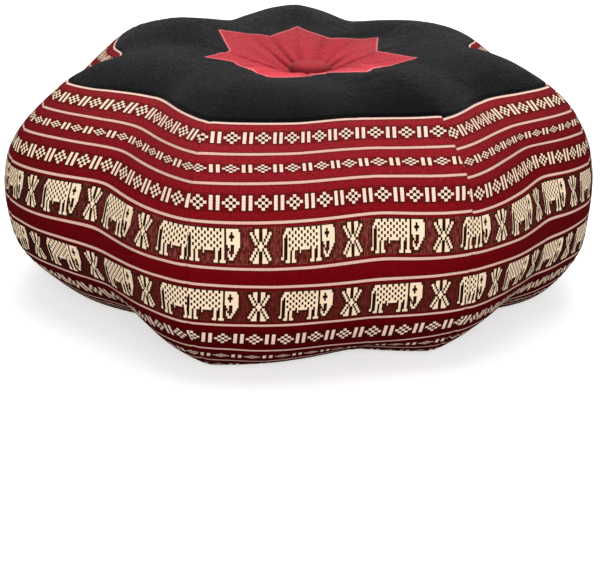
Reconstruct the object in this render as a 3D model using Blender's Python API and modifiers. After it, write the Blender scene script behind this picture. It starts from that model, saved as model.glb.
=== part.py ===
"""A round floor cushion: a filled cover of seven lobes, drawn in under a covered button.

Each of the seven panels runs from the top to the underside. It is sewn to its neighbours along the crests of
the lobes and creased down its middle. Metres, +Z up, the origin under the middle of the flat underside.
"""

import math

import bmesh
import bpy
import numpy as np

MM = 0.001

# Courses of the cover from the top to the floor, in millimetres: how far out and how high each one runs along
# a sewn crest and along the crease between two crests, how full the cloth is between them (1 is straight, 2 is
# round), what share of its lobe's sinking it takes, how far it follows the low values of the tables below, and
# its share of the drawing in at the foot.
COURSES = (
    # name, crest_out, crest_up, crease_out, crease_up, fullness, sink, low, tuck
    ("dimple wall", 17, 148.0, 17, 148.0, 1.0, 0.0, 0.0, 0.0),
    ("dimple rim", 24, 150.5, 23, 150.0, 1.0, 0.0, 0.0, 0.0),
    ("dish", 44, 157.0, 35, 154.0, 1.2, 0.65, 0.0, 0.0),
    ("star", 76, 165.0, 54, 160.5, 1.4, 1.0, 0.0, 0.0),
    ("crown", 106, 171.5, 84, 164.5, 1.4, 1.0, 0.0, 0.0),
    ("shoulder", 138, 167.5, 112, 161.5, 1.4, 0.5, 0.0, 0.0),
    ("border", 167, 155.0, 138, 149.0, 1.2, 0.0, 0.0, 0.0),
    ("line 2", 183.5, 141.0, 157, 136.0, 1.2, 0.0, 0.0, 0.0),
    ("line 3", 194, 126.0, 173, 123.0, 1.2, 0.0, 0.65, 0.0),
    ("line 4", 201, 105.0, 189, 105.0, 1.45, 0.0, 1.0, 0.0),
    ("line 5", 203.5, 78.5, 197, 79.0, 1.7, 0.0, 1.0, 0.0),
    ("line 6", 203, 67.5, 197, 66.5, 1.4, 0.0, 1.0, 0.0),
    ("line 7", 200, 42.5, 191, 41.0, 1.2, 0.0, 1.0, 0.35),
    ("line 8", 188, 23.5, 172.5, 19.0, 1.4, 0.0, 1.0, 0.8),
    ("line 9", 175, 10.5, 156, 10.0, 1.5, 0.0, 1.0, 1.0),
    ("foot", 163, 1.8, 140, 1.8, 1.1, 0.0, 1.0, 1.0),
    ("rest", 148, 0.0, 123, 0.0, 1.0, 0.0, 1.0, 1.0),
)

# The lobes' sewn crests, from the front left one round by the right, and the crease that follows each of them,
# with its turn measured from half way between its two crests. Percentages are of the courses' own sizes. The
# top sinks by so many millimetres where a lobe is less filled, and the foot is drawn in by so many.
LOBES = (
    # name, top_deg, low_deg, top_out_pc, low_out_pc, top_up_pc, low_up_pc, sink, tuck
    ("front left", -18, -18, 7, 4, 0, 0, 4.6, -5.5),
    ("front right", 31, 32, -5.5, -5, -1, -1, 1.6, -3),
    ("right", 73, 75.5, -1.5, -3.5, -1, -1, 0, -2.5),
    ("back right", 139, 139, 2, 2, -3, -3, 0, 0),
    ("back", 185, 185, 4, 4, -1, -1, 0, 0),
    ("back left", 239, 239, -8.5, -9.5, -0.5, -0.5, 0, 0),
    ("left", 293, 292, -1, 0.5, -3, -3, 0.5, 9.5),
)
CREASES = (
    # after, top_deg, low_deg, top_out_pc, low_out_pc, top_up_pc, low_up_pc, sink, tuck
    ("front left", 7.5, 7.5, -3, -4.5, 0, 0, 6.0, -6),
    ("front right", 0.5, 3, 2.5, -5.5, 2, 1.5, 1.0, 2.5),
    ("right", 0, 0, 0, 0, 0, 0, 0, 0),
    ("back right", 0, 0, 0, 0, 0, 0, 0, 0),
    ("back", 0, 0, 0, 0, 0, 0, 0, 0),
    ("back left", 0, 0, 0, 0, -2, -2, 0, 0),
    ("left", 2.5, 2, 4, -2.5, 3, 2, 3.0, 7),
)

PANEL_STEPS = 12  # faces across a panel, an even number so that one edge runs down the crease
RING_GAP = 7.0 * MM  # rings lie about this far apart down a crest
CREASE_SOFTNESS = (0.34, 0.18)  # shares of the half panel over which the crease is rounded, top and low
UNEVEN_FROM, UNEVEN_FULL = 24 * MM, 76 * MM  # crest distances between which the lobes become uneven

SEAT_UP = 146.0 * MM  # cloth under the button
SEAT_OUT = 12.5 * MM
TUFT_SIDE = 2.5 * MM  # the tuft sits this far to the right of the middle

BUTTON_OUT = 15.0 * MM
BUTTON_GAP = 0.3 * MM  # between the button and the cloth under it
BUTTON_DOME = 6.0 * MM  # from the button's widest ring up
BUTTON_UNDER = 3.2 * MM  # and down
BUTTON_SIDES = 32
BUTTON_RINGS = 7  # on the dome, and on the underside


def start_empty():
    """Remove what the file holds and make a collection for the cushion."""
    for thing in list(bpy.data.objects):
        bpy.data.objects.remove(thing, do_unlink=True)
    home = bpy.data.collections.new("zafu")
    bpy.context.scene.collection.children.link(home)
    return home


def cloth(name, colour, roughness):
    """A matte material of one colour."""
    material = bpy.data.materials.new(name)
    material.use_nodes = True
    shader = material.node_tree.nodes["Principled BSDF"]
    shader.inputs["Base Color"].default_value = (*colour, 1.0)
    shader.inputs["Roughness"].default_value = roughness
    shader.inputs["Metallic"].default_value = 0.0
    return material


def smooth_rows(rows, gap):
    """Rows between the given ones, about gap apart, on a smooth curve through them all."""
    knots = np.concatenate([[0.0], np.cumsum(np.hypot(*np.diff(rows[:, :2], axis=0).T))])
    slopes = np.gradient(rows, knots, axis=0)
    filled = []
    for low in range(len(rows) - 1):
        span = knots[low + 1] - knots[low]
        steps = max(1, round(span / gap))
        for t in np.arange(steps) / steps:
            h = (2 * t**3 - 3 * t**2 + 1, t**3 - 2 * t**2 + t, 3 * t**2 - 2 * t**3, t**3 - t**2)
            filled.append(
                h[0] * rows[low] + h[1] * span * slopes[low]
                + h[2] * rows[low + 1] + h[3] * span * slopes[low + 1]
            )
    filled.append(rows[-1])
    return np.array(filled)


def between(top, low, share):
    """The top value where the share is 0, the low one where it is 1."""
    return top + (low - top) * share


def crease_share(u, fullness, soft):
    """How far the cloth has sunk to its crease: 1 in the crease, at u = 0, and 0 on a crest, at u = -1 or 1."""
    rise = (math.hypot(u, soft) - soft) / (math.hypot(1.0, soft) - soft)
    return max(0.0, 1.0 - rise) ** fullness


def own_place(form, out, up, uneven, sink, low, tuck):
    """How far out and how high one crest or crease runs, with its own unevenness."""
    out *= 1 + uneven * between(form[3], form[4], low) / 100
    up *= 1 + uneven * between(form[5], form[6], low) / 100
    return out - tuck * form[8] * MM, up - sink * form[7] * MM


def ring_points(row):
    """The points of one ring round the cushion, panel by panel."""
    crest_out, crest_up, crease_out, crease_up, fullness, sink, low, tuck = row
    uneven = min(1.0, max(0.0, (crest_out - UNEVEN_FROM) / (UNEVEN_FULL - UNEVEN_FROM)))
    soft = between(*CREASE_SOFTNESS, low)
    points = []
    for number, (lobe, crease) in enumerate(zip(LOBES, CREASES)):
        after = LOBES[(number + 1) % len(LOBES)]
        start = math.radians(between(lobe[1], lobe[2], low))
        end = math.radians(between(after[1], after[2], low))
        if end < start:
            end += math.tau
        middle = (start + end) / 2 + math.radians(between(crease[1], crease[2], low)) * uneven
        deep_out, deep_up = own_place(crease, crease_out, crease_up, uneven, sink, low, tuck)
        for step in range(PANEL_STEPS):
            u = 2 * step / PANEL_STEPS - 1
            crest, edge = (lobe, start) if u < 0 else (after, end)
            high_out, high_up = own_place(crest, crest_out, crest_up, uneven, sink, low, tuck)
            share = crease_share(u, fullness, soft)
            out, up = between(high_out, deep_out, share), between(high_up, deep_up, share)
            angle = between(middle, edge, abs(u))
            side = TUFT_SIDE * (1 - uneven)
            points.append((side + out * math.sin(angle), -out * math.cos(angle), up))
    return points


def cushion(home):
    """The filled cover, lofted from ring to ring and closed under the button and underneath."""
    rows = np.array([course[1:] for course in COURSES], dtype=float)
    rows[:, :4] *= MM
    rings = [ring_points((SEAT_OUT, SEAT_UP, SEAT_OUT, SEAT_UP, 1.0, 0.0, 0.0, 0.0))]
    rings += [ring_points(row) for row in smooth_rows(rows, RING_GAP)]
    shape = bmesh.new()
    loops = [[shape.verts.new(point) for point in ring] for ring in rings]
    for upper, lower in zip(loops, loops[1:]):
        for i, vertex in enumerate(upper):
            following = (i + 1) % len(upper)
            shape.faces.new((vertex, lower[i], lower[following], upper[following]))
    shape.faces.new(loops[0])
    shape.faces.new(reversed(loops[-1]))
    mesh = bpy.data.meshes.new("cushion")
    shape.to_mesh(mesh)
    shape.free()
    mesh.shade_smooth()
    piece = bpy.data.objects.new("cushion", mesh)
    piece.data.materials.append(cloth("patterned cotton", (0.30, 0.03, 0.04), 0.9))
    home.objects.link(piece)
    return piece


def top_button(home):
    """The covered button: a domed profile turned about the middle."""
    widest = SEAT_UP + BUTTON_GAP + BUTTON_UNDER
    profile = []
    for ring in range(2 * BUTTON_RINGS + 1):
        angle = math.pi / 2 * (1 - ring / BUTTON_RINGS)
        height = BUTTON_DOME if angle > 0 else BUTTON_UNDER
        profile.append((BUTTON_OUT * math.cos(angle), 0.0, widest + height * math.sin(angle)))
    mesh = bpy.data.meshes.new("top_button")
    mesh.from_pydata(profile, [(i, i + 1) for i in range(len(profile) - 1)], [])
    piece = bpy.data.objects.new("top_button", mesh)
    piece.location.x = TUFT_SIDE
    home.objects.link(piece)
    turn = piece.modifiers.new("Turn", "SCREW")
    turn.steps = turn.render_steps = BUTTON_SIDES
    turn.use_merge_vertices = True
    turn.merge_threshold = 0.0001
    turn.use_smooth_shade = True
    piece.data.materials.append(cloth("red cotton", (0.55, 0.06, 0.08), 0.85))
    return piece


def main():
    home = start_empty()
    cushion(home)
    top_button(home)


main()
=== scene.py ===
"""The looks of a round floor cushion: woven and plain cotton, star, button, floor and light.

Everything is in the part's own frame: metres, +Z up, -Y towards the side shown in front. Lengths in
the tables and places on the cloth are in millimetres.
"""

import math

import bpy
import numpy as np
from mathutils import Matrix, Vector, noise


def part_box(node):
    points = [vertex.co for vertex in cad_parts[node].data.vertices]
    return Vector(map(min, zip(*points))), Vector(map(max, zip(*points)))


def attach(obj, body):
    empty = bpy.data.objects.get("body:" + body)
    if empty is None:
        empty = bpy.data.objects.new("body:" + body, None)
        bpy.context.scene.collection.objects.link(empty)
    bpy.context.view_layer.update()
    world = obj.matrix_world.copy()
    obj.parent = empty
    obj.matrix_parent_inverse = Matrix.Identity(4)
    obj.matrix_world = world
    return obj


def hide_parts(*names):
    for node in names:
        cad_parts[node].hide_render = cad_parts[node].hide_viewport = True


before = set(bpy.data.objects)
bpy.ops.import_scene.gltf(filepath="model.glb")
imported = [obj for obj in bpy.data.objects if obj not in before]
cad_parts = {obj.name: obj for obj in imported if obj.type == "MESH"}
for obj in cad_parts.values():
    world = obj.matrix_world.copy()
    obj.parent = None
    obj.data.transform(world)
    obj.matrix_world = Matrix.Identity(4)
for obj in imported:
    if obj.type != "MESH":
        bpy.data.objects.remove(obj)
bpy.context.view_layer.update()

MM = 0.001
TINY = 1e-9  # stands in for zero where something is divided by it

# The cover's form, as the part's source has it: courses from the top to the floor, each along a
# sewn crest and along the crease between two crests, how full the cloth is between them, its share
# of a lobe's sinking, how far it follows the low values of the tables below, and its share of the
# drawing in at the foot.
COURSES = (
    # name, crest_out, crest_up, crease_out, crease_up, fullness, sink, low, tuck
    ("dimple wall", 17, 148.0, 17, 148.0, 1.0, 0.0, 0.0, 0.0),
    ("dimple rim", 24, 150.5, 23, 150.0, 1.0, 0.0, 0.0, 0.0),
    ("dish", 44, 157.0, 35, 154.0, 1.2, 0.65, 0.0, 0.0),
    ("star", 76, 165.0, 54, 160.5, 1.4, 1.0, 0.0, 0.0),
    ("crown", 106, 171.5, 84, 164.5, 1.4, 1.0, 0.0, 0.0),
    ("shoulder", 138, 167.5, 112, 161.5, 1.4, 0.5, 0.0, 0.0),
    ("border", 167, 155.0, 138, 149.0, 1.2, 0.0, 0.0, 0.0),
    ("line 2", 183.5, 141.0, 157, 136.0, 1.2, 0.0, 0.0, 0.0),
    ("line 3", 194, 126.0, 173, 123.0, 1.2, 0.0, 0.65, 0.0),
    ("line 4", 201, 105.0, 189, 105.0, 1.45, 0.0, 1.0, 0.0),
    ("line 5", 203.5, 78.5, 197, 79.0, 1.7, 0.0, 1.0, 0.0),
    ("line 6", 203, 67.5, 197, 66.5, 1.4, 0.0, 1.0, 0.0),
    ("line 7", 200, 42.5, 191, 41.0, 1.2, 0.0, 1.0, 0.35),
    ("line 8", 188, 23.5, 172.5, 19.0, 1.4, 0.0, 1.0, 0.8),
    ("line 9", 175, 10.5, 156, 10.0, 1.5, 0.0, 1.0, 1.0),
    ("foot", 163, 1.8, 140, 1.8, 1.1, 0.0, 1.0, 1.0),
    ("rest", 148, 0.0, 123, 0.0, 1.0, 0.0, 1.0, 1.0),
)
BORDER = 6  # the course where the plain top meets the woven side

# The lobes' sewn crests, from the front left one round by the right, and the crease that follows
# each of them, with its turn measured from half way between its two crests.
LOBES = (
    # name, top_deg, low_deg, top_out_pc, low_out_pc, top_up_pc, low_up_pc, sink, tuck
    ("front left", -18, -18, 7, 4, 0, 0, 4.6, -5.5),
    ("front right", 31, 32, -5.5, -5, -1, -1, 1.6, -3),
    ("right", 73, 75.5, -1.5, -3.5, -1, -1, 0, -2.5),
    ("back right", 139, 139, 2, 2, -3, -3, 0, 0),
    ("back", 185, 185, 4, 4, -1, -1, 0, 0),
    ("back left", 239, 239, -8.5, -9.5, -0.5, -0.5, 0, 0),
    ("left", 293, 292, -1, 0.5, -3, -3, 0.5, 9.5),
)
CREASES = (
    # after, top_deg, low_deg, top_out_pc, low_out_pc, top_up_pc, low_up_pc, sink, tuck
    ("front left", 7.5, 7.5, -3, -4.5, 0, 0, 6.0, -6),
    ("front right", 0.5, 3, 2.5, -5.5, 2, 1.5, 1.0, 2.5),
    ("right", 0, 0, 0, 0, 0, 0, 0, 0),
    ("back right", 0, 0, 0, 0, 0, 0, 0, 0),
    ("back", 0, 0, 0, 0, 0, 0, 0, 0),
    ("back left", 0, 0, 0, 0, -2, -2, 0, 0),
    ("left", 2.5, 2, 4, -2.5, 3, 2, 3.0, 7),
)
UNEVEN_FROM, UNEVEN_FULL = 24, 76  # crest distances between which the lobes become uneven
CREASE_SOFTNESS = (0.34, 0.18)  # shares of half a panel over which its crease is round, top and low
SEAT_OUT, SEAT_UP = 12.5, 146.0  # the cloth under the button
TUFT_SIDE = 2.5  # the tuft sits this far to the right of the middle

# Where the crown is a little fuller or more drawn in than its courses.
CROWN_LUMPS = (
    # turn_deg, out, size, up
    (18, 46, 20, 3.4),
    (318, 60, 18, -3.0),
    (322, 60, 12, -2.8),
    (52, 64, 16, -4.5),
)
CROWN_UP = (120.0, 140.0)  # heights between which the crown's lumps and folds set in

# The red star that is sewn on over the crown: the tip on each lobe and the notch that follows it.
STAR = (
    # lobe, tip_turn_deg, tip_out, notch_turn_deg, notch_out
    ("front left", -20, 72.0, 6, 49.0),
    ("front right", 34, 70.0, 47, 58.5),
    ("right", 75.5, 76.0, 111, 51.5),
    ("back right", 139.5, 77.5, 162, 52.0),
    ("back", 185.5, 77.0, 208, 56.0),
    ("back left", 236, 75.5, 259, 54.0),
    ("left", 287, 71.5, 293, 53.0),
)
STAR_LOWEST = 100.0  # no cloth below this height is in it
DEEP_IN_STAR, FAR_FROM_STAR = 40.0, -99.0  # distances inside it for cloth that isn't near its edge

# The mesh of the cover.
PANEL_COLUMNS = 80  # an even number, so that one edge runs down the crease
AROUND = len(LOBES) * PANEL_COLUMNS
RING_GAP = 2.35  # rings lie about this far apart down a crest
UNDER_RINGS = (0.985, 0.94, 0.86, 0.74, 0.6, 0.45, 0.3, 0.18, 0.1, 0.05)  # shares of the way out
UNDER_PUCKER, UNDER_PUCKER_WIDE = 5.0, 0.35  # its height, and its reach as a share of the way out

# The cloth's relief: how high or deep each kind is, how wide, and where it sets in.
FOLDS, FOLDS_STRAY, FOLD_NARROW, FOLD_DEEP = 19, 3.5, 2.5, 2.3  # gathered in under the button
FOLD_CIRCLE = 30.0  # they differ as noise does round a circle of this radius
FOLD_FROM, FOLD_FADE = 15.0, 30.0  # how far out they begin to fade, and over what length
FOLD_MEAN, FOLD_UNEVEN, FOLD_LEAST = 0.6, 1.1, 0.15  # their depth as a share of the deepest
RIM_DEEP, RIM_OUT, RIM_WIDE = 1.1, 20.0, 8.0  # the hollow that they lie in
BROAD_FILLING, BROAD_SIZE = 1.3, 46.0
FINE_FILLING, FINE_SIZE = 0.35, 17.0
SEAM_DEEP, SEAM_SHALLOWER_ON_TOP, SEAM_WIDE = 0.55, 0.2, 1.6
SEAMS_FROM, TOP_SEAMS_FROM, STAR_HIDES = (-200.0, -60.0), (0.0, 8.0), (0.0, 6.0)
PUCKER_HIGH, PUCKER_WIDE, PUCKER_STEP, PUCKER_STRAY = 0.3, 5.0, 6.5, 4.0  # along the seams
WRINKLE_HIGH, WRINKLE_WIDE = 0.9, 13.0  # along the creases
WRINKLE_SHARE, WRINKLE_MORE_ON_TOP, TOP_WRINKLES_FROM = 0.35, 0.4, (12.0, 40.0)
STAR_PROUD, STAR_STEP = 0.3, 1.5  # the star's cloth on the black one
LIES_FLAT, STANDS_FREE = 0.0, 12.0  # heights between which the cloth comes clear of the floor

# The woven side, band by band down from the border. It mirrors about the middle of the plain band.
BAND_HEIGHTS = (22.0, 18.6, 23.0, 26.4, 11.4, 26.4, 23.0, 18.6, 22.0)
LINES_DOWN = np.concatenate([[0.0], np.cumsum(BAND_HEIGHTS)])
MIDDLE_DOWN = LINES_DOWN[-1] / 2
LINES_FAR = [line - MIDDLE_DOWN for line in LINES_DOWN if line > MIDDLE_DOWN]  # from the middle
ANIMALS_FAR, *DIAMONDS_FAR = [(near + far) / 2 for near, far in zip(LINES_FAR, LINES_FAR[1:])]
WOVEN_FROM = -2.6  # faces from here down are woven
LINE_WIDE = 1.7
STEP_HEIGHTS = (1.78, 1.02, 1.64)  # woven steps in the rows of diamonds, from the animals outwards
DIAMOND_STEP = 0.106  # width of one woven step, as a share of the repeat
DIAMOND_REACH, HOLES_REACH, BAR_REACH = 2.5, 2.2, 2.45  # in steps from the middle
BAR_FROM_MIDDLE, BAR_WIDE = 0.105, 0.114  # the two bars between diamonds, as shares of the repeat

# Where the repeats fall on each panel, along the cloth from the panel's middle, how far the
# diamonds' columns lean in a millimetre down, how far the bands are lowered at the panel's start,
# how far they are drawn up in its crease and how far off that still shows.
PANELS = (
    # animal_repeat, animal_from, diamond_repeat, diamond_from, lean, lowered, drawn_up, drawn_wide
    (55.8, 11.0, 18.65, -3.6, -0.04, 0.0, 0.0, 26),
    (45.5, -4.5, 16.1, 7.0, -0.13, 2.2, 0.0, 26),
    (53.0, 9.0, 17.8, 3.0, 0.03, -1.0, 23.0, 48),
    (54.5, -22.0, 18.1, 6.5, -0.04, 1.2, 4.0, 30),
    (53.5, 14.0, 17.9, -4.0, 0.02, 0.6, 5.0, 30),
    (54.0, -3.0, 18.0, 8.0, -0.03, -1.4, 13.0, 26),
    (55.0, 2.0, 18.85, 2.5, 0.0, 0.8, 0.0, 26),
)
LOWERED_ALONG, LOWERED_DOWN = (0.0, 45.0), (45.0, 85.0)  # the lowering wears off over these
DRAWN_DOWN = (20.0, 110.0)  # and the drawing up over this
DOWN_IN_SEAT, DOWN_UNDERNEATH, FAR_FROM_SEAM = -170.0, 300.0, 40.0  # where the mesh is closed

# The woven animals and crosses, drawn: # is a pale thread, o a dark one and . the ground.
CROSS = (
    "...###..###...",
    "##o###oo###o##",
    ".##o##oo##o##.",
    "..##o#oo#o##..",
    "...##o##o##...",
    ".....####.....",
    "...##o##o##...",
    "..##o#oo#o##..",
    ".##o##oo##o##.",
    "##o###oo###o##",
    "..####..####..",
)
ELEPHANT = (
    "...####o###o###o###o###o##o########.",
    "..###o###o###o###o###o####o###o#####",
    ".##o###o###o###o###o###o##o##ooo####",
    ".#oo#o###o###o###o###o####o###o#####",
    ".#oo###o###o###o###o###o##o#########",
    ".#oo#o###o###o###o###o####o.##oo####",
    ".#oo###o###o#######o###o##o..#o.###.",
    ".#oo##o##...#.......##oo##..#...##..",
    ".#oo##o##...........##oo##..##o##...",
    "##oo##o##...........##oo##...###....",
    "...###o###.........###o####.........",
)
CHART_GAP = "......"
CHART_EMPTY = 2  # empty rows above the drawn ones, and below them
CHART_ROW = 1.78  # height of one row of the chart
CHART_BITS = 21  # columns that one ramp holds
STITCH_SPREAD = 0.16  # how far, in columns, the dark stitches close in on the pale ones

# Colours, as they would be named on a screen.
CREAM = "FFE5C2"
BAR_CREAM = "FFDCC9"
LINE_PINK = "E8B9AA"
BORDER_LINE = "F2CABB"
REDS_WITH_PAINTED_SHADE = (
    # down_mm, red: paler towards the top and darker downwards, as painted light and shade
    (0.0, "90242A"),
    (30.0, "8A1C24"),
    (62.0, "7A0E16"),
    (104.0, "66020A"),
    (150.0, "480003"),
)
MAROON = "541612"
MAROON_STREAK = "985048"
DARK_THREAD = "240C04"
SIDE_SEAM_THREAD = "1A0508"
BLACK = "0F0F0F"
TOP_SEAM_THREAD = "141414"
STAR_RED = "C83844"
STAR_EDGE = "F09A9E"
STAR_SHADOW = "101010"
BUTTON_RED = "BC3640"

# Steps in the cottons' shading: where each is, and half over what width.
DIMPLE = (24.0, 9.0)  # out from the tuft, where the red is darker as painted shade
FRONT = (-34.0, 22.0)  # towards the front, where the star is paler as painted light
STAR_HEM = (0.15, 0.1), (1.25, 0.35)  # the two sides of the star's pale turned edge
SIDE_SHADING = (125.0, 60.0)  # to the left and right, where painted shade darkens the woven reds and maroon and painted light pales the cream
STREAKS = (0.52, 0.12)  # of the noise that streaks the ground between the animals
BUTTON_LIT = (SEAT_UP + 6.4, 1.8)  # up the button, where it is paler as painted light

# The cottons' surfaces. Thread pitches are in millimetres, bump distances in metres.
COTTON_ROUGHNESS, SHEEN_ROUGHNESS = 0.88, 0.3
SHEEN_TINT = (1.0, 0.95, 0.95, 1.0)
PLAIN_SHINE, WOVEN_SHINE = 0.1, 0.02
BUTTON_SHEEN = 0.08
TOP_PITCH, WOVEN_PITCH, BUTTON_PITCH = 0.55, 0.6, 0.5
COVER_BUMP, BUTTON_BUMP = 0.00022, 0.0002
LINT_CELL = 0.8  # single threads are lighter or darker in cells of this size
WORN_AREAS, WORN_LINT, WORN_THREADS = 0.6, 2.2, 0.8  # how strongly each lightens plain cotton
LINE_RIB = 1.4  # from one rib of the pale lines to the next
MIX_INPUTS, MIX_RESULT = (0, 6, 7), 2  # a mix node's sockets for the share and two colours

# The covered button's mesh.
BUTTON_SIDES, BUTTON_LEVELS = 144, 36
BUTTON_CLEAR = 1.0  # its top stays this far under the solid's
BUTTON_WIDEST = 0.35  # share of its height where it is widest
BUTTON_REACH = 0.985  # its width as a share of the solid's
BUTTON_EDGE = 0.82  # 1 is an ellipse from the side, less is fuller at the edge
CRIMPS = ((17, 0.0, 1.0), (29, 1.1, 0.6))  # folds round the edge: how many, how far on, how deep
CRIMP_DEEP, CRIMP_AT, CRIMP_WIDE = 0.18, -0.25, 0.9  # their depth, and the angles up where they are
WOBBLE = 0.3  # how far it is from round

# The camera, as fitted to the photograph's woven lines, seams and outline. Metres, degrees and, for
# the lens and its sensor, millimetres.
CAMERA_DISTANCE = 1.089
CAMERA_ABOVE_DEG = 16.10
CAMERA_TILT_DEG = 20.59
CAMERA_ROLL_DEG = 1.76
CAMERA_LENS, CAMERA_SENSOR, CAMERA_CLIP = 94.3, 36.0, 0.02
LOOK_UP = 0.085  # height that the distance is measured from

# Lights, floor and surroundings. Metres and watts.
LIGHTS = (
    # name, size, power, place, aim
    ("key", 1.6, 18.0, (0.0, -0.2, 2.0), (0.0, 0.0, 0.1)),
    ("back", 1.4, 16.0, (0.1, 1.4, 1.6), (0.0, 0.0, 0.15)),
    ("fill", 1.4, 26.0, (0.1, -2.0, 0.6), (0.0, 0.0, 0.06)),
)
WHITE = (1.0, 1.0, 1.0, 1.0)
FLOOR_REACH = 6.0
FLOOR_GREY, FLOOR_SEEN_PALER, FLOOR_ROUGHNESS = 0.5, 0.12, 0.8
ROOM_LIGHT, SEEN_LIGHT = 0.42, 0.6  # the second is added for the camera, to floor and room


def srgb(text):
    """A screen colour as the linear colour that a shader takes."""
    parts = [int(text[i : i + 2], 16) / 255 for i in (0, 2, 4)]
    linear = [p / 12.92 if p <= 0.04045 else ((p + 0.055) / 1.055) ** 2.4 for p in parts]
    return (*linear, 1.0)


def ease(x, low, high):
    """0 below low, 1 above high, and a smooth step between them."""
    t = np.clip((x - low) / (high - low), 0.0, 1.0)
    return t * t * (3 - 2 * t)


def between(top, low, share):
    """The top value where the share is 0, the low one where it is 1."""
    return top + (low - top) * share


def run_along(out, up):
    """The length run from the first of some places to each of them."""
    return np.concatenate([[0.0], np.cumsum(np.hypot(np.diff(out), np.diff(up)))])


def smooth_rows(rows, gap):
    """Rows about gap apart on a smooth curve through the given ones, and the course of each."""
    knots = run_along(rows[:, 0], rows[:, 1])
    slopes = np.gradient(rows, knots, axis=0)
    filled, course = [], []
    for low in range(len(rows) - 1):
        span = knots[low + 1] - knots[low]
        steps = max(1, round(span / gap))
        for t in np.arange(steps) / steps:
            h = (2 * t**3 - 3 * t**2 + 1, t**3 - 2 * t**2 + t, 3 * t**2 - 2 * t**3, t**3 - t**2)
            filled.append(
                h[0] * rows[low] + h[1] * span * slopes[low]
                + h[2] * rows[low + 1] + h[3] * span * slopes[low + 1]
            )
            course.append(low + t)
    return np.array(filled + [rows[-1]]), np.array(course + [len(rows) - 1.0])


def lobe_angles(low):
    """For each panel, in radians: its start, its middle, how far its crease is off it, its end."""
    turn = np.radians([lobe[1:3] for lobe in LOBES])
    shift = np.radians([crease[1:3] for crease in CREASES])
    start = between(turn[:, :1], turn[:, 1:], low)
    end = np.roll(start, -1, axis=-2)
    end = np.where(end < start, end + math.tau, end)
    return start, (start + end) / 2, between(shift[:, :1], shift[:, 1:], low), end


def own_place(form, out, up, uneven, sink, low, tuck):
    """How far out and how high crests or creases run, with their own unevenness."""
    _, _, top_out, low_out, top_up, low_up, own_sink, own_tuck = form
    out = out * (1 + uneven * between(top_out, low_out, low) / 100)
    up = up * (1 + uneven * between(top_up, low_up, low) / 100)
    return out - tuck * own_tuck, up - sink * own_sink


def ring_points(rows, u):
    """The cover's points, by row, panel and place u across the panel from -1 to 1."""
    crest_out, crest_up, crease_out, crease_up, fullness, sink, low, tuck = rows.T[..., None, None]
    uneven = np.clip((crest_out - UNEVEN_FROM) / (UNEVEN_FULL - UNEVEN_FROM), 0.0, 1.0)
    start, middle, shift, end = lobe_angles(low)
    middle = middle + shift * uneven
    lobes = np.array([lobe[1:] for lobe in LOBES], dtype=float)
    before_crease = (u < 0)[:, None]
    crests = np.where(before_crease, lobes[:, None], np.roll(lobes, -1, axis=0)[:, None])
    creases = np.array([crease[1:] for crease in CREASES], dtype=float)[:, None]
    course = (uneven, sink, low, tuck)
    high_out, high_up = own_place(np.moveaxis(crests, -1, 0), crest_out, crest_up, *course)
    deep_out, deep_up = own_place(np.moveaxis(creases, -1, 0), crease_out, crease_up, *course)
    soft = between(*CREASE_SOFTNESS, low)
    rise = (np.hypot(u, soft) - soft) / (np.hypot(1.0, soft) - soft)
    share = np.clip(1.0 - rise, 0.0, 1.0) ** fullness
    out, up = between(high_out, deep_out, share), between(high_up, deep_up, share)
    angle = between(middle, np.where(u < 0, start, end), np.abs(u))
    side = TUFT_SIDE * (1 - uneven)
    return np.stack([side + out * np.sin(angle), -out * np.cos(angle), up], axis=-1)


def inside_star(points):
    """How far each point lies inside the star's outline, and below zero outside it."""
    turns, out = np.array([row[1:] for row in STAR]).reshape(-1, 2).T
    turns = np.radians(turns)
    corners = np.stack([out * np.sin(turns), -out * np.cos(turns)], axis=1)
    x, y = points[..., 0], points[..., 1]
    nearest = np.full(x.shape, np.inf)
    inside = np.zeros(x.shape, dtype=bool)
    for (ax, ay), (bx, by) in zip(corners, np.roll(corners, -1, axis=0)):
        dx, dy = bx - ax, by - ay
        t = np.clip(((x - ax) * dx + (y - ay) * dy) / (dx * dx + dy * dy), 0.0, 1.0)
        nearest = np.minimum(nearest, np.hypot(x - ax - t * dx, y - ay - t * dy))
        crosses = (ay > y) != (by > y)
        inside ^= crosses & (x < ax + (y - ay) * dx / (dy if dy else TINY))
    return np.where(inside, nearest, -nearest)


def lumps(points, size, seed):
    """Smooth noise from about -1 to 1 with bumps of the given size."""
    shift = Vector((seed, -seed, 0.5 * seed))
    flat = (points / size).reshape(-1, 3)
    return np.array([noise.noise(Vector(p) + shift) for p in flat]).reshape(points.shape[:-1])


def crown_lumps(points):
    """How far the crown stands above its courses."""
    raised = np.zeros(points.shape[:-1])
    for turn, out, size, up in CROWN_LUMPS:
        x, y = out * math.sin(math.radians(turn)), -out * math.cos(math.radians(turn))
        away = ((points[..., 0] - x) ** 2 + (points[..., 1] - y) ** 2) / size**2
        raised += up * np.exp(-away)
    return raised * ease(points[..., 2], *CROWN_UP)


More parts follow.
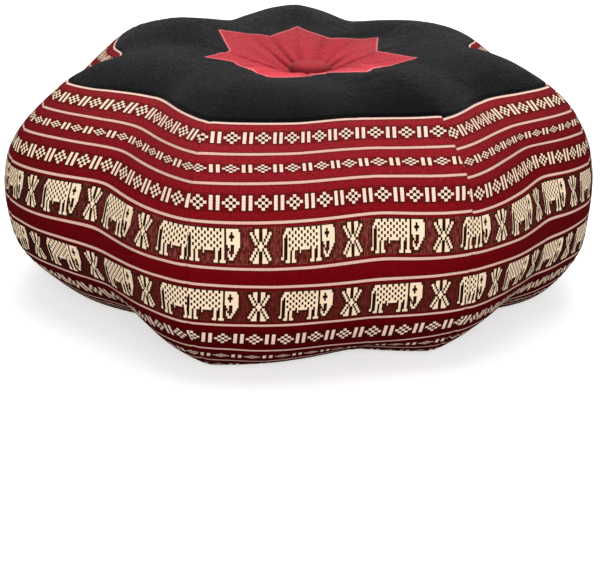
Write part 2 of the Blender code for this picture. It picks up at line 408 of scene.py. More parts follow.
def gathers(points):
    """How deep the cloth lies in its folds towards the button: 0 between them, 1 in the deepest."""
    x, y = points[..., 0] - TUFT_SIDE, points[..., 1]
    out, turn = np.hypot(x, y), np.arctan2(x, -y)
    circle = FOLD_CIRCLE * np.stack([np.cos(turn), np.sin(turn)])
    round_about = np.stack([*circle, 0.3 * out], axis=-1)
    stray = FOLDS_STRAY * lumps(round_about, size=17.0, seed=6.0)
    narrow = ((1 + np.cos(FOLDS * turn + stray)) / 2) ** FOLD_NARROW
    uneven = lumps(round_about * (1, 1, 0.4), size=9.0, seed=2.2)
    strength = np.clip(FOLD_MEAN + FOLD_UNEVEN * uneven, FOLD_LEAST, 1.0)
    fade = np.exp(-((np.maximum(out - FOLD_FROM, 0.0) / FOLD_FADE) ** 1.5))
    return narrow * strength * fade * ease(points[..., 2], *CROWN_UP)


def relief(points, down, from_seam, from_crease, star, gathered):
    """How far the sewn, filled cloth stands out from its plain form."""
    out = np.hypot(points[..., 0] - TUFT_SIDE, points[..., 1])
    line = np.stack([down, 0 * down, 3 * np.sign(from_crease)], axis=-1)
    free = ease(points[..., 2], LIES_FLAT, STANDS_FREE)
    filling = BROAD_FILLING * lumps(points, BROAD_SIZE, seed=3.1)
    filling = filling + FINE_FILLING * lumps(points, FINE_SIZE, seed=8.7)

    seam_deep = SEAM_DEEP - SEAM_SHALLOWER_ON_TOP * ease(-down, *TOP_SEAMS_FROM)
    seam = -seam_deep * np.exp(-((from_seam / SEAM_WIDE) ** 2))
    stray = PUCKER_STRAY * lumps(line, size=14.0, seed=5.2)
    pucker = np.sin(math.tau * down / PUCKER_STEP + stray) * np.exp(-from_seam / PUCKER_WIDE)
    off_star, off_seat = ease(-star, *STAR_HIDES), ease(from_seam + down, *SEAMS_FROM)
    sewn = (seam + PUCKER_HIGH * pucker) * off_star * off_seat

    wrinkles = WRINKLE_HIGH * np.exp(-np.abs(from_crease) / WRINKLE_WIDE)
    wrinkles = wrinkles * lumps(line * (1, 1, 5), size=7.5, seed=1.4)
    on_top = ease(-down, *TOP_WRINKLES_FROM)
    wrinkles = wrinkles * (WRINKLE_SHARE + WRINKLE_MORE_ON_TOP * on_top)
    rim = RIM_DEEP * np.exp(-(((out - RIM_OUT) / RIM_WIDE) ** 2))
    patch = STAR_PROUD * ease(star, -STAR_STEP, STAR_STEP)
    return free * (filling + wrinkles - FOLD_DEEP * gathered - rim) + sewn + patch


def cover_grid():
    """The cover's points, by ring, panel and column, and the course that each ring lies at."""
    rows = np.array([course[1:] for course in COURSES], dtype=float)
    filled, course = smooth_rows(rows, RING_GAP)
    seat = np.array([[SEAT_OUT, SEAT_UP, SEAT_OUT, SEAT_UP, 1.0, 0.0, 0.0, 0.0]])
    u = np.linspace(-1.0, 1.0, PANEL_COLUMNS + 1)
    points = ring_points(np.concatenate([seat, filled]), u)
    points[..., 2] += crown_lumps(points)
    under = []
    for share in UNDER_RINGS:
        ring = points[-1] * share
        ring[..., 2] = UNDER_PUCKER * (1 - ease(np.array(share), 0.0, UNDER_PUCKER_WIDE))
        under.append(ring)
    course = np.concatenate([[-1.0], course, len(COURSES) + np.arange(len(under))])
    return np.concatenate([points, np.array(under)]), course


def cloth_down(points, course):
    """How far down the cloth each point lies, with the border at 0 and the lines at theirs."""
    out = np.hypot(points[:, :, 0, 0], points[:, :, 0, 1]).mean(axis=1)
    run = run_along(out, points[:, :, 0, 2].mean(axis=1))
    line_courses = BORDER + np.arange(len(BAND_HEIGHTS))
    first, last = np.interp(line_courses[[0, -1]], course, run)
    down = np.interp(course, line_courses, LINES_DOWN[:-1])
    down = np.where(course < line_courses[0], run - first, down)
    down = np.where(course > line_courses[-1], LINES_DOWN[-2] + run - last, down)
    return np.broadcast_to(down[:, None, None], points.shape[:-1])


def cloth_along(points):
    """How far along the cloth each point lies from its panel's middle, nearer seam and crease."""
    steps = np.linalg.norm(np.diff(points, axis=2), axis=-1)
    along = np.concatenate([np.zeros(steps.shape[:2] + (1,)), np.cumsum(steps, axis=2)], axis=2)
    length = along[..., -1:]
    from_crease = along - along[..., PANEL_COLUMNS // 2, None]
    return along - length / 2, np.minimum(along, length - along), from_crease


def normals_of(points):
    """Outward unit normals of a closed ring grid, by ring and column."""
    across = np.roll(points, -1, axis=1) - np.roll(points, 1, axis=1)
    downward = np.gradient(points, axis=0)
    normal = np.cross(downward, across)
    return normal / np.maximum(np.linalg.norm(normal, axis=-1, keepdims=True), TINY)


def quad_corners(rings):
    """The ring, panel and column of each corner of the faces between the rings."""
    ring, panel, column = np.meshgrid(
        np.arange(rings - 1), np.arange(len(LOBES)), np.arange(PANEL_COLUMNS), indexing="ij"
    )
    return (
        np.stack([ring, ring + 1, ring + 1, ring], axis=-1).ravel(),
        np.stack([panel] * 4, axis=-1).ravel(),
        np.stack([column, column, column + 1, column + 1], axis=-1).ravel(),
    )


def cover_faces(corners, rings):
    """The faces between the rings, then those round the middle of the top and of the underside."""
    ring, panel, column = corners
    quads = (ring * AROUND + (panel * PANEL_COLUMNS + column) % AROUND).reshape(-1, 4)
    edge = np.arange(AROUND)
    beside = (edge + 1) % AROUND
    lowest, top, bottom = (rings - 1) * AROUND, rings * AROUND, rings * AROUND + 1
    top_fan = np.stack([edge, beside, np.full(AROUND, top)], axis=-1)
    bottom_fan = np.stack([lowest + beside, lowest + edge, np.full(AROUND, bottom)], axis=-1)
    return quads.tolist() + top_fan.tolist() + bottom_fan.tolist()


def panel_cloth(panel, along, from_start, down, from_crease):
    """How far down the bands and what turns of the repeats the corners of faces have, by panel."""
    table = np.array(PANELS, dtype=float)[panel].T
    animal_repeat, animal_from, diamond_repeat, diamond_from, lean, lowered, drawn_up, wide = table
    lowered = lowered * (1 - ease(from_start, *LOWERED_ALONG)) * (1 - ease(down, *LOWERED_DOWN))
    drawn_up = drawn_up * np.exp(-((from_crease / wide) ** 2)) * (1 - ease(down, *DRAWN_DOWN))
    diamond_turn = (along - diamond_from - lean * down) / diamond_repeat
    return down - lowered + drawn_up, diamond_turn, (along - animal_from) / animal_repeat


def set_attribute(mesh, name, values, top=(0.0, 0.0, 0.0), under=(0.0, 0.0, 0.0)):
    """Store three numbers for each corner, with one set for the faces round each middle."""
    fans = [np.tile(numbers, (3 * AROUND, 1)) for numbers in (top, under)]
    values = np.concatenate([np.stack(values, axis=-1), *fans])
    layer = mesh.attributes.new(name, "FLOAT_VECTOR", "CORNER")
    layer.data.foreach_set("vector", values.astype(np.float32).ravel())


def added(name, data):
    """A new object in the scene."""
    thing = bpy.data.objects.new(name, data)
    bpy.context.scene.collection.objects.link(thing)
    return thing


def make_cover():
    """The filled cover as one closed mesh, with its cloth coordinates and its cottons' faces."""
    points, course = cover_grid()
    rings = len(points)
    down = cloth_down(points, course)
    along, from_seam, from_crease = cloth_along(points)
    star = np.where(points[..., 2] > STAR_LOWEST, inside_star(points), FAR_FROM_STAR)
    gathered = gathers(points)

    closed = points[:, :, :-1].reshape(rings, AROUND, 3)
    fields = (down, from_seam, from_crease, star, gathered)
    height = relief(closed, *(field[:, :, :-1].reshape(rings, AROUND) for field in fields))
    placed = closed + normals_of(closed) * height[..., None]
    placed[..., 2] = np.maximum(placed[..., 2], 0.0)
    middles = [[TUFT_SIDE, 0.0, SEAT_UP], [0.0, 0.0, UNDER_PUCKER]]
    vertices = np.concatenate([placed.reshape(-1, 3), middles]) * MM

    where = quad_corners(rings)
    mesh = bpy.data.meshes.new("cushion_cover")
    mesh.from_pydata(vertices.tolist(), [], cover_faces(where, rings))
    from_start = along[where] - along[:, :, 0][where[:2]]
    band_down, diamond_turn, animal_turn = panel_cloth(
        where[1], along[where], from_start, down[where], from_crease[where]
    )
    set_attribute(
        mesh, "weave", [along[where], band_down, from_seam[where]],
        top=(0.0, DOWN_IN_SEAT, FAR_FROM_SEAM), under=(0.0, DOWN_UNDERNEATH, FAR_FROM_SEAM),
    )
    set_attribute(
        mesh, "motif", [diamond_turn, animal_turn, star[where]],
        top=(0.0, 0.0, DEEP_IN_STAR), under=(0.0, 0.0, FAR_FROM_STAR),
    )
    from_tuft = np.hypot(points[..., 0] - TUFT_SIDE, points[..., 1])
    # Fold depth, distance from the tuft and place front to back, for the top's painted shade and
    # light.
    set_attribute(mesh, "gather", [gathered[where], from_tuft[where], points[..., 1][where]])

    woven = band_down.reshape(-1, 4).max(axis=1) > WOVEN_FROM
    slots = np.concatenate([woven, np.zeros(AROUND, dtype=bool), np.ones(AROUND, dtype=bool)])
    mesh.polygons.foreach_set("material_index", slots.astype(np.int32))
    mesh.shade_smooth()
    return added("cushion_cover", mesh)


class Field:
    """A number at each point of a surface: a socket of a node tree, or one plain value."""

    def __init__(self, tree, source):
        self.tree = tree
        self.source = source

    def math(self, operation, *others):
        """The result of a math node on this field and the others."""
        node = self.tree.nodes.new("ShaderNodeMath")
        node.operation = operation
        for socket, other in zip(node.inputs, (self, *others)):
            feed(self.tree, socket, other)
        return Field(self.tree, node.outputs[0])

    def __add__(self, other):
        return self.math("ADD", other)

    def __sub__(self, other):
        return self.math("SUBTRACT", other)

    def __mul__(self, other):
        return self.math("MULTIPLY", other)

    def __truediv__(self, other):
        return self.math("DIVIDE", other)

    def least(self, other):
        """The lesser of two fields at each point."""
        return self.math("MINIMUM", other)

    def most(self, other):
        """The greater of two fields at each point."""
        return self.math("MAXIMUM", other)

    def size(self):
        """The field without its sign."""
        return self.math("ABSOLUTE")

    def floor(self):
        """The whole number at or below the field."""
        return self.math("FLOOR")

    def part(self):
        """What is over the whole number."""
        return self.math("FRACT")

    def step(self, limit, soft, below, above):
        """A smooth step of twice soft about the limit, from the one value to the other."""
        node = self.tree.nodes.new("ShaderNodeMapRange")
        node.interpolation_type = "SMOOTHSTEP"
        feed(self.tree, node.inputs["Value"], self)
        node.inputs["From Min"].default_value = limit - soft
        node.inputs["From Max"].default_value = limit + soft
        node.inputs["To Min"].default_value = below
        node.inputs["To Max"].default_value = above
        return Field(self.tree, node.outputs["Result"])

    def over(self, limit, soft):
        """1 where the field is over the limit, 0 where it is under it."""
        return self.step(limit, soft, 0.0, 1.0)

    def under(self, limit, soft):
        """1 where the field is under the limit, 0 where it is over it."""
        return self.step(limit, soft, 1.0, 0.0)


def feed(tree, socket, value):
    """Link a field or a socket into the socket, or set a plain value there."""
    value = value.source if isinstance(value, Field) else value
    if isinstance(value, bpy.types.NodeSocket):
        tree.links.new(value, socket)
    else:
        socket.default_value = value


def numbers_of(tree, vector, kind="ShaderNodeSeparateXYZ"):
    """The three numbers of a vector, or of a colour."""
    split = tree.nodes.new(kind)
    feed(tree, split.inputs[0], vector)
    return [Field(tree, out) for out in split.outputs]


def attribute(tree, name):
    """The three numbers of a corner attribute."""
    node = tree.nodes.new("ShaderNodeAttribute")
    node.attribute_name = name
    return numbers_of(tree, node.outputs["Vector"])


def place(tree, x, y, z=0.0):
    """A vector from three numbers."""
    node = tree.nodes.new("ShaderNodeCombineXYZ")
    for socket, value in zip(node.inputs, (x, y, z)):
        feed(tree, socket, value)
    return node.outputs[0]


def in_millimetres(tree):
    """The place on the piece, in millimetres."""
    scaled = tree.nodes.new("ShaderNodeVectorMath")
    scaled.operation = "SCALE"
    scaled.inputs["Scale"].default_value = 1 / MM
    tree.links.new(tree.nodes.new("ShaderNodeTexCoord").outputs["Object"], scaled.inputs[0])
    return scaled.outputs[0]


def cloud(tree, vector, scale, detail=2.0, roughness=0.5):
    """Smooth noise from 0 to 1."""
    node = tree.nodes.new("ShaderNodeTexNoise")
    feed(tree, node.inputs["Vector"], vector)
    node.inputs["Scale"].default_value = scale
    node.inputs["Detail"].default_value = detail
    node.inputs["Roughness"].default_value = roughness
    return Field(tree, node.outputs["Fac"])


def chance(tree, vector):
    """A random number from 0 to 1 that is the same wherever the vector is."""
    node = tree.nodes.new("ShaderNodeTexWhiteNoise")
    feed(tree, node.inputs["Vector"], vector)
    return Field(tree, node.outputs["Value"])


def speckle(tree, along, down, per_along, per_down):
    """A random number for each small cell of the cloth, with so many cells to a millimetre."""
    return chance(tree, place(tree, (along * per_along).floor(), (down * per_down).floor()))


def mixed(tree, share, first, second, blend="MIX"):
    """The first colour where the share is 0, the second where it is 1."""
    node = tree.nodes.new("ShaderNodeMix")
    node.data_type = "RGBA"
    node.blend_type = blend
    for number, value in zip(MIX_INPUTS, (share, first, second)):
        feed(tree, node.inputs[number], value)
    return node.outputs[MIX_RESULT]


def brightened(tree, colour, share):
    """The colour times a number."""
    return mixed(tree, 1.0, colour, place(tree, share, share, share), blend="MULTIPLY")


def new_cloth(name, shine):
    """An empty cotton material, its tree and its shader."""
    material = bpy.data.materials.new(name)
    material.use_nodes = True
    shader = material.node_tree.nodes["Principled BSDF"]
    shader.inputs["Roughness"].default_value = COTTON_ROUGHNESS
    shader.inputs["Specular IOR Level"].default_value = shine
    shader.inputs["Sheen Roughness"].default_value = SHEEN_ROUGHNESS
    shader.inputs["Sheen Tint"].default_value = SHEEN_TINT
    return material, material.node_tree, shader


def dye(tree, shader, colour, sheen):
    """Give the cotton its colour and the strength of its sheen."""
    feed(tree, shader.inputs["Base Color"], colour)
    feed(tree, shader.inputs["Sheen Weight"], sheen)


def raise_threads(tree, shader, height, distance):
    """Bump from a height field, with its distance in metres."""
    bump = tree.nodes.new("ShaderNodeBump")
    bump.inputs["Strength"].default_value = 1.0
    bump.inputs["Distance"].default_value = distance
    feed(tree, bump.inputs["Height"], height)
    tree.links.new(bump.outputs["Normal"], shader.inputs["Normal"])


def plain_weave(tree, vector, pitch):
    """The over and under of a plain weave's threads, from 0 to 1."""
    x, y, _ = numbers_of(tree, vector)
    turns = math.pi / pitch
    return (x * turns).math("SINE").size() * (y * turns).math("SINE").size()


def worn_shade(tree, spot):
    """How light plain cotton is from place to place, about 1: worn areas, lint, single threads."""
    broad = cloud(tree, spot, scale=0.02, detail=3.0)
    lint = cloud(tree, spot, scale=0.75, roughness=0.7)
    cell = tree.nodes.new("ShaderNodeVectorMath")
    cell.operation = "SNAP"
    tree.links.new(spot, cell.inputs[0])
    cell.inputs[1].default_value = (LINT_CELL, LINT_CELL, LINT_CELL)
    threads = chance(tree, cell.outputs[0])
    return broad * WORN_AREAS + lint * WORN_LINT + threads * WORN_THREADS - 0.8


def black_cloth(tree, worn):
    """The plain black cotton, a little paler towards the back as painted light, and its sheen."""
    _, _, back = attribute(tree, "gather")
    # Painted light: paler towards the back, for the colour and the sheen alike.
    paler = back / 500.0 + 0.86
    return brightened(tree, srgb(BLACK), worn * paler), (worn - 0.4) * paler * 0.15


def top_cotton():
    """The black top with the red star sewn on."""
    material, tree, shader = new_cloth("top cotton", PLAIN_SHINE)
    along, down, from_seam = attribute(tree, "weave")
    _, _, star = attribute(tree, "motif")
    fold, from_tuft, back = attribute(tree, "gather")
    spot = in_millimetres(tree)
    worn = worn_shade(tree, spot)

    # The red is darker in the folds, the dimple and behind as painted shade, paler in front as
    # painted light, and paler along its hem.
    dimple = from_tuft.under(*DIMPLE)
    front = back.under(*FRONT)
    shade = (fold * -0.85 + 1.0) * (dimple * -0.12 + 1.0) * (back / -280.0 + front * 0.32 + 0.93)
    red = brightened(tree, srgb(STAR_RED), (worn * 0.3 + 0.74) * shade)
    outer, inner = STAR_HEM
    edge = star.over(*outer) * (star - front * 0.9).under(*inner)
    red = mixed(tree, edge * (front * 0.3 + 0.45), red, srgb(STAR_EDGE))

    # The black has a narrow shadow round the star, and its seams show a little where they are bare.
    black, sheen = black_cloth(tree, worn)
    shadow = star.under(0.1, 0.1) * star.over(-1.6, 0.8)
    black = mixed(tree, shadow * 0.6, black, srgb(STAR_SHADOW))
    colour = mixed(tree, star.over(0.0, 0.08), black, red)
    thread = from_seam.under(0.5, 0.3) * star.under(-2.0, 1.0)
    colour = mixed(tree, thread * 0.3, colour, srgb(TOP_SEAM_THREAD))
    dye(tree, shader, colour, sheen)
    weave = plain_weave(tree, place(tree, along, down), TOP_PITCH)
    raise_threads(tree, shader, weave * 0.5 + cloud(tree, spot, scale=0.9) * 1.4, COVER_BUMP)
    return material


def chart_rows():
    """The chart's rows over one repeat, cross and elephant, with empty rows above and below."""
    drawn = [cross + CHART_GAP + animal + CHART_GAP for cross, animal in zip(CROSS, ELEPHANT)]
    empty = ["." * len(drawn[0])] * CHART_EMPTY
    return [*empty, *drawn, *empty]


def chart_masks(rows):
    """Numbers whose binary digits say, column by column, what is pale, dark and beside pale."""
    wide = len(rows[0])
    groups = math.ceil(wide / CHART_BITS)
    masks = [[[0.0, 0.0, 0.0] for _ in rows] for _ in range(groups)]
    for r, row in enumerate(rows):
        for c, letter in enumerate(row):
            near = [
                rows[min(max(r + dr, 0), len(rows) - 1)][(c + dc) % wide]
                for dr in (-1, 0, 1) for dc in (-1, 0, 1)
            ]
            marks = (letter == "#", letter == "o", letter == "." and "#" in near)
            for channel, mark in enumerate(marks):
                masks[c // CHART_BITS][r][channel] += mark * 2.0 ** -(c % CHART_BITS + 1)
    return masks


def chart_field(tree, column, row):
    """Pale, dark and beside pale at a column and row of the chart, each 0 or 1."""
    rows = chart_rows()
    # Each ramp has one colour for a row, and each of its channels a binary digit for a column.
    share = (row + 0.5) / float(len(rows))
    group = (column / float(CHART_BITS)).floor()
    digit = column - group * float(CHART_BITS)
    power = Field(tree, 2.0).math("POWER", digit + 1.0)
    half_digit = 0.5 ** (CHART_BITS + 1)
    channels = [Field(tree, 0.0)] * 3
    for number, masks in enumerate(chart_masks(rows)):
        ramp = tree.nodes.new("ShaderNodeValToRGB")
        feed(tree, ramp.inputs[0], share)
        ramp.color_ramp.interpolation = "CONSTANT"
        elements = ramp.color_ramp.elements
        while len(elements) > 1:
            elements.remove(elements[-1])
        for r, mask in enumerate(masks):
            element = elements[0] if r == 0 else elements.new(r / len(rows))
            element.position = r / len(rows)
            element.color = (*(digits + half_digit for digits in mask), 1.0)
        chosen = (group - float(number)).size().under(0.5, 0.1)
        read = numbers_of(tree, ramp.outputs["Color"], "ShaderNodeSeparateColor")
        channels = [known + new * chosen for known, new in zip(channels, read)]
    return [((channel * power).floor() / 2.0).part() * 2.0 for channel in channels]


def animal_row(tree, signed, far, turn):
    """The rows of animals and crosses: where they are, their pale threads and their dark ones."""
    chart_high = len(CROSS) * CHART_ROW
    # The pattern mirrors about the middle, but both rows of animals stand upright.
    off = far - ANIMALS_FAR
    upright = signed.over(0.0, 0.01) * 2.0 - 1.0
    row = ((off * upright + chart_high / 2) / CHART_ROW + float(CHART_EMPTY)).floor()
    row = row.most(0.0).least(len(CROSS) + 2 * CHART_EMPTY - 1.0)
    period = float(len(chart_rows()[0]))
    at = (turn + len(CROSS[0]) / 2 / period).part() * period
    inside = off.size().under(chart_high / 2 + 1.0, 0.3)
    # The chart is read a little to either side, where the dark stitches close in on the pale ones.
    left, right = (
        chart_field(tree, (at + side).floor(), row) for side in (-STITCH_SPREAD, STITCH_SPREAD)
    )
    pale = left[0].least(right[0]) * inside
    dark, beside = (one.most(other) * inside for one, other in zip(left[1:], right[1:]))
    return inside, pale, (dark * 0.95).most(beside * 0.6)


def diamond_rows(tree, along, down, far, turn):
    """The rows of diamonds and bars: steps down from a row, bars, pale threads, dark ones."""
    # Steps are counted from the middle of the nearest row and of the nearest diamond in it.
    step_down = Field(tree, LINES_DOWN[-1])
    for row_far, height in zip(DIAMONDS_FAR, STEP_HEIGHTS):
        step_down = step_down.least((far - row_far).size() / height)
    across = ((turn + 0.5).part() - 0.5).size()
    step_across = across / DIAMOND_STEP
    # A diamond is a checkerboard five steps wide, and two bars stand half a repeat away from it.
    steps = (step_across + 0.5).floor() + (step_down + 0.5).floor()
    diamond = (steps / 2.0).part().under(0.25, 0.01) * steps.under(DIAMOND_REACH, 0.01)
    off_bar = (Field(tree, 0.5) - across - BAR_FROM_MIDDLE).size()
    bar = off_bar.under(BAR_WIDE / 2, 0.006) * step_down.under(BAR_REACH, 0.06)

    # It is dark in the diamond's holes, round the diamonds and the bars, and a little between them.
    from_diamond = step_across + step_down
    hole = from_diamond.under(HOLES_REACH, 0.1)
    around_diamond = from_diamond.under(3.6, 0.35)
    around_bar = off_bar.under(BAR_WIDE / 2 + 0.04, 0.02) * step_down.under(2.9, 0.3)
    ground = step_down.under(3.1, 0.5) * (speckle(tree, along, down, 1.3, 1.3) * 0.5 + 0.15)
    dark = (hole * 0.95).most(around_diamond * 0.6).most(around_bar * 0.75).most(ground)
    return step_down, bar, diamond.most(bar), dark


def shaded_reds_down(tree, down):
    """The side's red, band by band down, darker downwards as painted shade."""
    ramp = tree.nodes.new("ShaderNodeValToRGB")
    feed(tree, ramp.inputs[0], down / REDS_WITH_PAINTED_SHADE[-1][0])
    elements = ramp.color_ramp.elements
    elements[0].color = srgb(REDS_WITH_PAINTED_SHADE[0][1])
    elements[1].color = srgb(REDS_WITH_PAINTED_SHADE[-1][1])
    for at, red in REDS_WITH_PAINTED_SHADE[1:-1]:
        elements.new(at / REDS_WITH_PAINTED_SHADE[-1][0]).color = srgb(red)
    return ramp.outputs["Color"]


def woven_ground(tree, along, down, lower, side_shading, in_animals):
    """The red of the bands and the streaky maroon between the animals, both darker at the sides as
    painted shade.
    """
    # The red varies in strokes along the bands, and the maroon's streaks run down them.
    shade = cloud(tree, place(tree, along * 0.5, down * 1.3), scale=1.0, detail=3.0, roughness=0.65)
    red = brightened(tree, shaded_reds_down(tree, down), (shade * 0.5 + 0.78) * (side_shading * -0.25 + 1.0))
    streak = cloud(tree, place(tree, along * 1.1, down * 0.22), scale=1.0, roughness=0.6)
    # Painted shade: on the lower half the streaks are fainter and the maroon darker.
    streak = streak.over(*STREAKS) * (lower * -0.35 + 0.55)
    maroon = mixed(tree, streak, srgb(MAROON), srgb(MAROON_STREAK))
    maroon = brightened(tree, maroon, (lower * -0.15 + 1.0) * (side_shading * -0.55 + 1.0))
    return mixed(tree, in_animals, red, maroon)


def woven_cotton():
    """The side's woven bands with the black border above them and the black underside."""
    material, tree, shader = new_cloth("woven cotton", WOVEN_SHINE)
    along, down, from_seam = attribute(tree, "weave")
    diamond_turn, animal_turn, _ = attribute(tree, "motif")
    spot = in_millimetres(tree)
    signed = down - MIDDLE_DOWN
    far = signed.size()
    # Mask of the lower half, which gets painted shade.
    lower = signed.over(0.0, 1.0)
    # Mask for the painted shade and light at the left and right sides.
    side_shading = numbers_of(tree, spot)[0].size().over(*SIDE_SHADING)

    # What is pale is a diamond, a bar, an animal or a line, and beside each it is a little darker.
    to_line = (far - LINES_FAR[0]).size()
    for line_far in LINES_FAR[1:]:
        to_line = to_line.least((far - line_far).size())
    is_line = to_line.under(LINE_WIDE / 2, 0.12)
    beside_line = to_line.under(LINE_WIDE / 2 + 0.6, 0.2)
    step_down, bar, pale, dark = diamond_rows(tree, along, down, far, diamond_turn)
    in_animals, pale_animal, dark_animal = animal_row(tree, signed, far, animal_turn)
    pale = pale.most(pale_animal).most(is_line)
    dark = dark.most(dark_animal).most(beside_line * 0.55)

    grain = speckle(tree, along, down, 1.4, 1.9)
    ground = woven_ground(tree, along, down, lower, side_shading, in_animals)
    ground = mixed(tree, dark, ground, srgb(DARK_THREAD))
    ground = brightened(tree, ground, grain * 0.5 + 0.75)

    # The pale threads are yellower in the animals, painted light makes them yellower and paler at
    # the sides, and the lines are pink.
    cream = mixed(tree, (in_animals * 0.85).most(side_shading * 0.75), srgb(BAR_CREAM), srgb(CREAM))
    outermost = far.over(LINES_FAR[-1] - 3.0, 1.0)
    cream = mixed(tree, is_line, cream, mixed(tree, outermost, srgb(LINE_PINK), srgb(BORDER_LINE)))
    line_rib = (along * (math.tau / LINE_RIB)).math("SINE") * is_line * 0.09
    rib = (step_down * math.tau).math("COSINE") * bar * 0.1 + line_rib + 0.92
    cream = brightened(tree, cream, rib + grain * 0.14 + side_shading * 0.1 - 0.06)

    plain = far.over(LINES_FAR[-1] + LINE_WIDE / 2, 0.12)
    black, sheen = black_cloth(tree, worn_shade(tree, spot))
    colour = mixed(tree, plain, mixed(tree, pale, ground, cream), black)
    colour = mixed(tree, from_seam.under(0.45, 0.3) * 0.22, colour, srgb(SIDE_SEAM_THREAD))
    dye(tree, shader, colour, plain * sheen)
    on_cloth = place(tree, along, down)
    weave = plain_weave(tree, on_cloth, WOVEN_PITCH)
    height = weave * 0.6 + cloud(tree, on_cloth, scale=0.55) + pale * 1.1
    raise_threads(tree, shader, height, COVER_BUMP)
    return material


def button_vertices():
    """The covered button's rings from the top down, then the middles of its top and underside."""
    low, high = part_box("top_button")
    centre = (low + high) / 2
    out = (high.x - low.x) / 2
    high.z -= BUTTON_CLEAR * MM
    widest = low.z + (high.z - low.z) * BUTTON_WIDEST
    vertices = []
    for level in range(1, BUTTON_LEVELS):
        angle = math.pi / 2 - math.pi * level / BUTTON_LEVELS
        tall = (high.z - widest) if angle > 0 else (widest - low.z)
        up = widest + tall * math.sin(angle)
        round_out = math.copysign(abs(math.cos(angle)) ** BUTTON_EDGE, math.cos(angle))
        crimp_deep = CRIMP_DEEP * MM * max(0.0, 1 - abs(angle - CRIMP_AT) / CRIMP_WIDE)
        for side in range(BUTTON_SIDES):
            turn = math.tau * side / BUTTON_SIDES
            crimp = crimp_deep * sum(deep * math.cos(n * turn + on) for n, on, deep in CRIMPS)
            at = Vector((3 * math.cos(turn), 3 * math.sin(turn), angle))
            reach = out * round_out * BUTTON_REACH + crimp + WOBBLE * MM * noise.noise(at)
            x, y = centre.x + reach * math.sin(turn), centre.y - reach * math.cos(turn)
            vertices.append((x, y, up))
    return vertices + [(centre.x, centre.y, high.z), (centre.x, centre.y, low.z)]


def make_button():
    """The covered button: a soft dome with its cloth gathered in under the rim."""
    vertices = button_vertices()
    top, bottom = len(vertices) - 2, len(vertices) - 1
    last = (BUTTON_LEVELS - 2) * BUTTON_SIDES
    faces = []
    for side in range(BUTTON_SIDES):
        beside = (side + 1) % BUTTON_SIDES
        for upper in range(0, last, BUTTON_SIDES):
            lower = upper + BUTTON_SIDES
            faces.append((upper + side, lower + side, lower + beside, upper + beside))
        faces.append((side, beside, top))
        faces.append((last + beside, last + side, bottom))
    mesh = bpy.data.meshes.new("covered_button")
    mesh.from_pydata(vertices, [], faces)
    mesh.shade_smooth()
    return added("covered_button", mesh)


def button_cotton():
    """The button's red cotton, darker below the rim of the dimple as painted shade."""
    material, tree, shader = new_cloth("button cotton", PLAIN_SHINE)
    spot = in_millimetres(tree)
    # Painted light on the button's top and painted shade below it.
    upper = numbers_of(tree, spot)[2].over(*BUTTON_LIT)
    shade = (worn_shade(tree, spot) * 0.4 + 0.6) * (upper * 0.5 + 0.36)
    dye(tree, shader, brightened(tree, srgb(BUTTON_RED), shade), BUTTON_SHEEN)
    weave = plain_weave(tree, spot, BUTTON_PITCH)
    raise_threads(tree, shader, weave * 0.5 + cloud(tree, spot, scale=0.9), BUTTON_BUMP)
    return material


def make_camera():
    """The camera in front, looking down on the cushion."""
    data = bpy.data.cameras.new("camera")
    data.lens = CAMERA_LENS
    data.sensor_width = CAMERA_SENSOR
    data.clip_start = CAMERA_CLIP
    camera = added("camera", data)
    above, tilt = math.radians(CAMERA_ABOVE_DEG), math.radians(CAMERA_TILT_DEG)
    back, up = CAMERA_DISTANCE * math.cos(above), CAMERA_DISTANCE * math.sin(above)
    facing = Matrix.Rotation(math.pi / 2 - tilt, 4, "X")
    facing = facing @ Matrix.Rotation(math.radians(CAMERA_ROLL_DEG), 4, "Z")
    camera.matrix_world = Matrix.Translation((0.0, -back, LOOK_UP + up)) @ facing
    bpy.context.scene.camera = camera


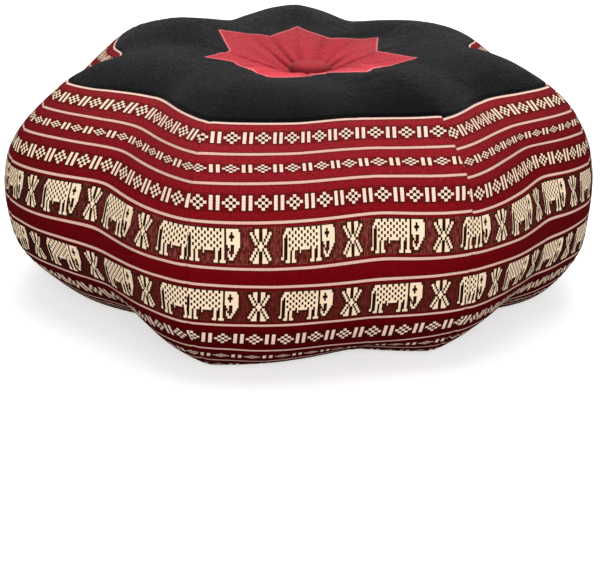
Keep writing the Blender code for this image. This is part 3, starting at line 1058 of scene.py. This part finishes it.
def make_light(name, size, power, place_at, aim_at):
    """A soft round light."""
    data = bpy.data.lights.new(name, "AREA")
    data.shape = "DISK"
    data.size = size
    data.energy = power
    light = added(name, data)
    light.location = place_at
    way = Vector(aim_at) - Vector(place_at)
    light.rotation_euler = way.to_track_quat("-Z", "Y").to_euler()


def seen(tree):
    """1 for what the camera sees itself and 0 for the light that falls on the cushion."""
    return Field(tree, tree.nodes.new("ShaderNodeLightPath").outputs["Is Camera Ray"])


def make_studio():
    """A pale floor, soft lights from above, behind and in front, and white surroundings."""
    mesh = bpy.data.meshes.new("floor")
    corners = ((-1, -1, 0), (1, -1, 0), (1, 1, 0), (-1, 1, 0))
    mesh.from_pydata([Vector(corner) * FLOOR_REACH for corner in corners], [], [(0, 1, 2, 3)])
    floor = added("floor", mesh)
    material = bpy.data.materials.new("pale floor")
    material.use_nodes = True
    tree = material.node_tree
    shader = tree.nodes["Principled BSDF"]
    grey = seen(tree) * FLOOR_SEEN_PALER + FLOOR_GREY
    feed(tree, shader.inputs["Base Color"], place(tree, grey, grey, grey))
    shader.inputs["Roughness"].default_value = FLOOR_ROUGHNESS
    feed(tree, shader.inputs["Emission Strength"], seen(tree) * SEEN_LIGHT)
    shader.inputs["Emission Color"].default_value = WHITE
    mesh.materials.append(material)
    for light in LIGHTS:
        make_light(*light)
    world = bpy.data.worlds.new("white room")
    world.use_nodes = True
    room = world.node_tree.nodes["Background"]
    room.inputs["Color"].default_value = WHITE
    brightness = seen(world.node_tree) * SEEN_LIGHT + ROOM_LIGHT
    feed(world.node_tree, room.inputs["Strength"], brightness)
    bpy.context.scene.world = world
    bpy.context.scene.view_settings.view_transform = "Standard"


def main():
    """Set up the camera and the studio, and build the cover and its button."""
    make_camera()
    make_studio()
    cover = make_cover()
    cover.data.materials.append(top_cotton())
    cover.data.materials.append(woven_cotton())
    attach(cover, "root")
    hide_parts("cushion")
    button = make_button()
    button.data.materials.append(button_cotton())
    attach(button, "root")
    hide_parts("top_button")


main()
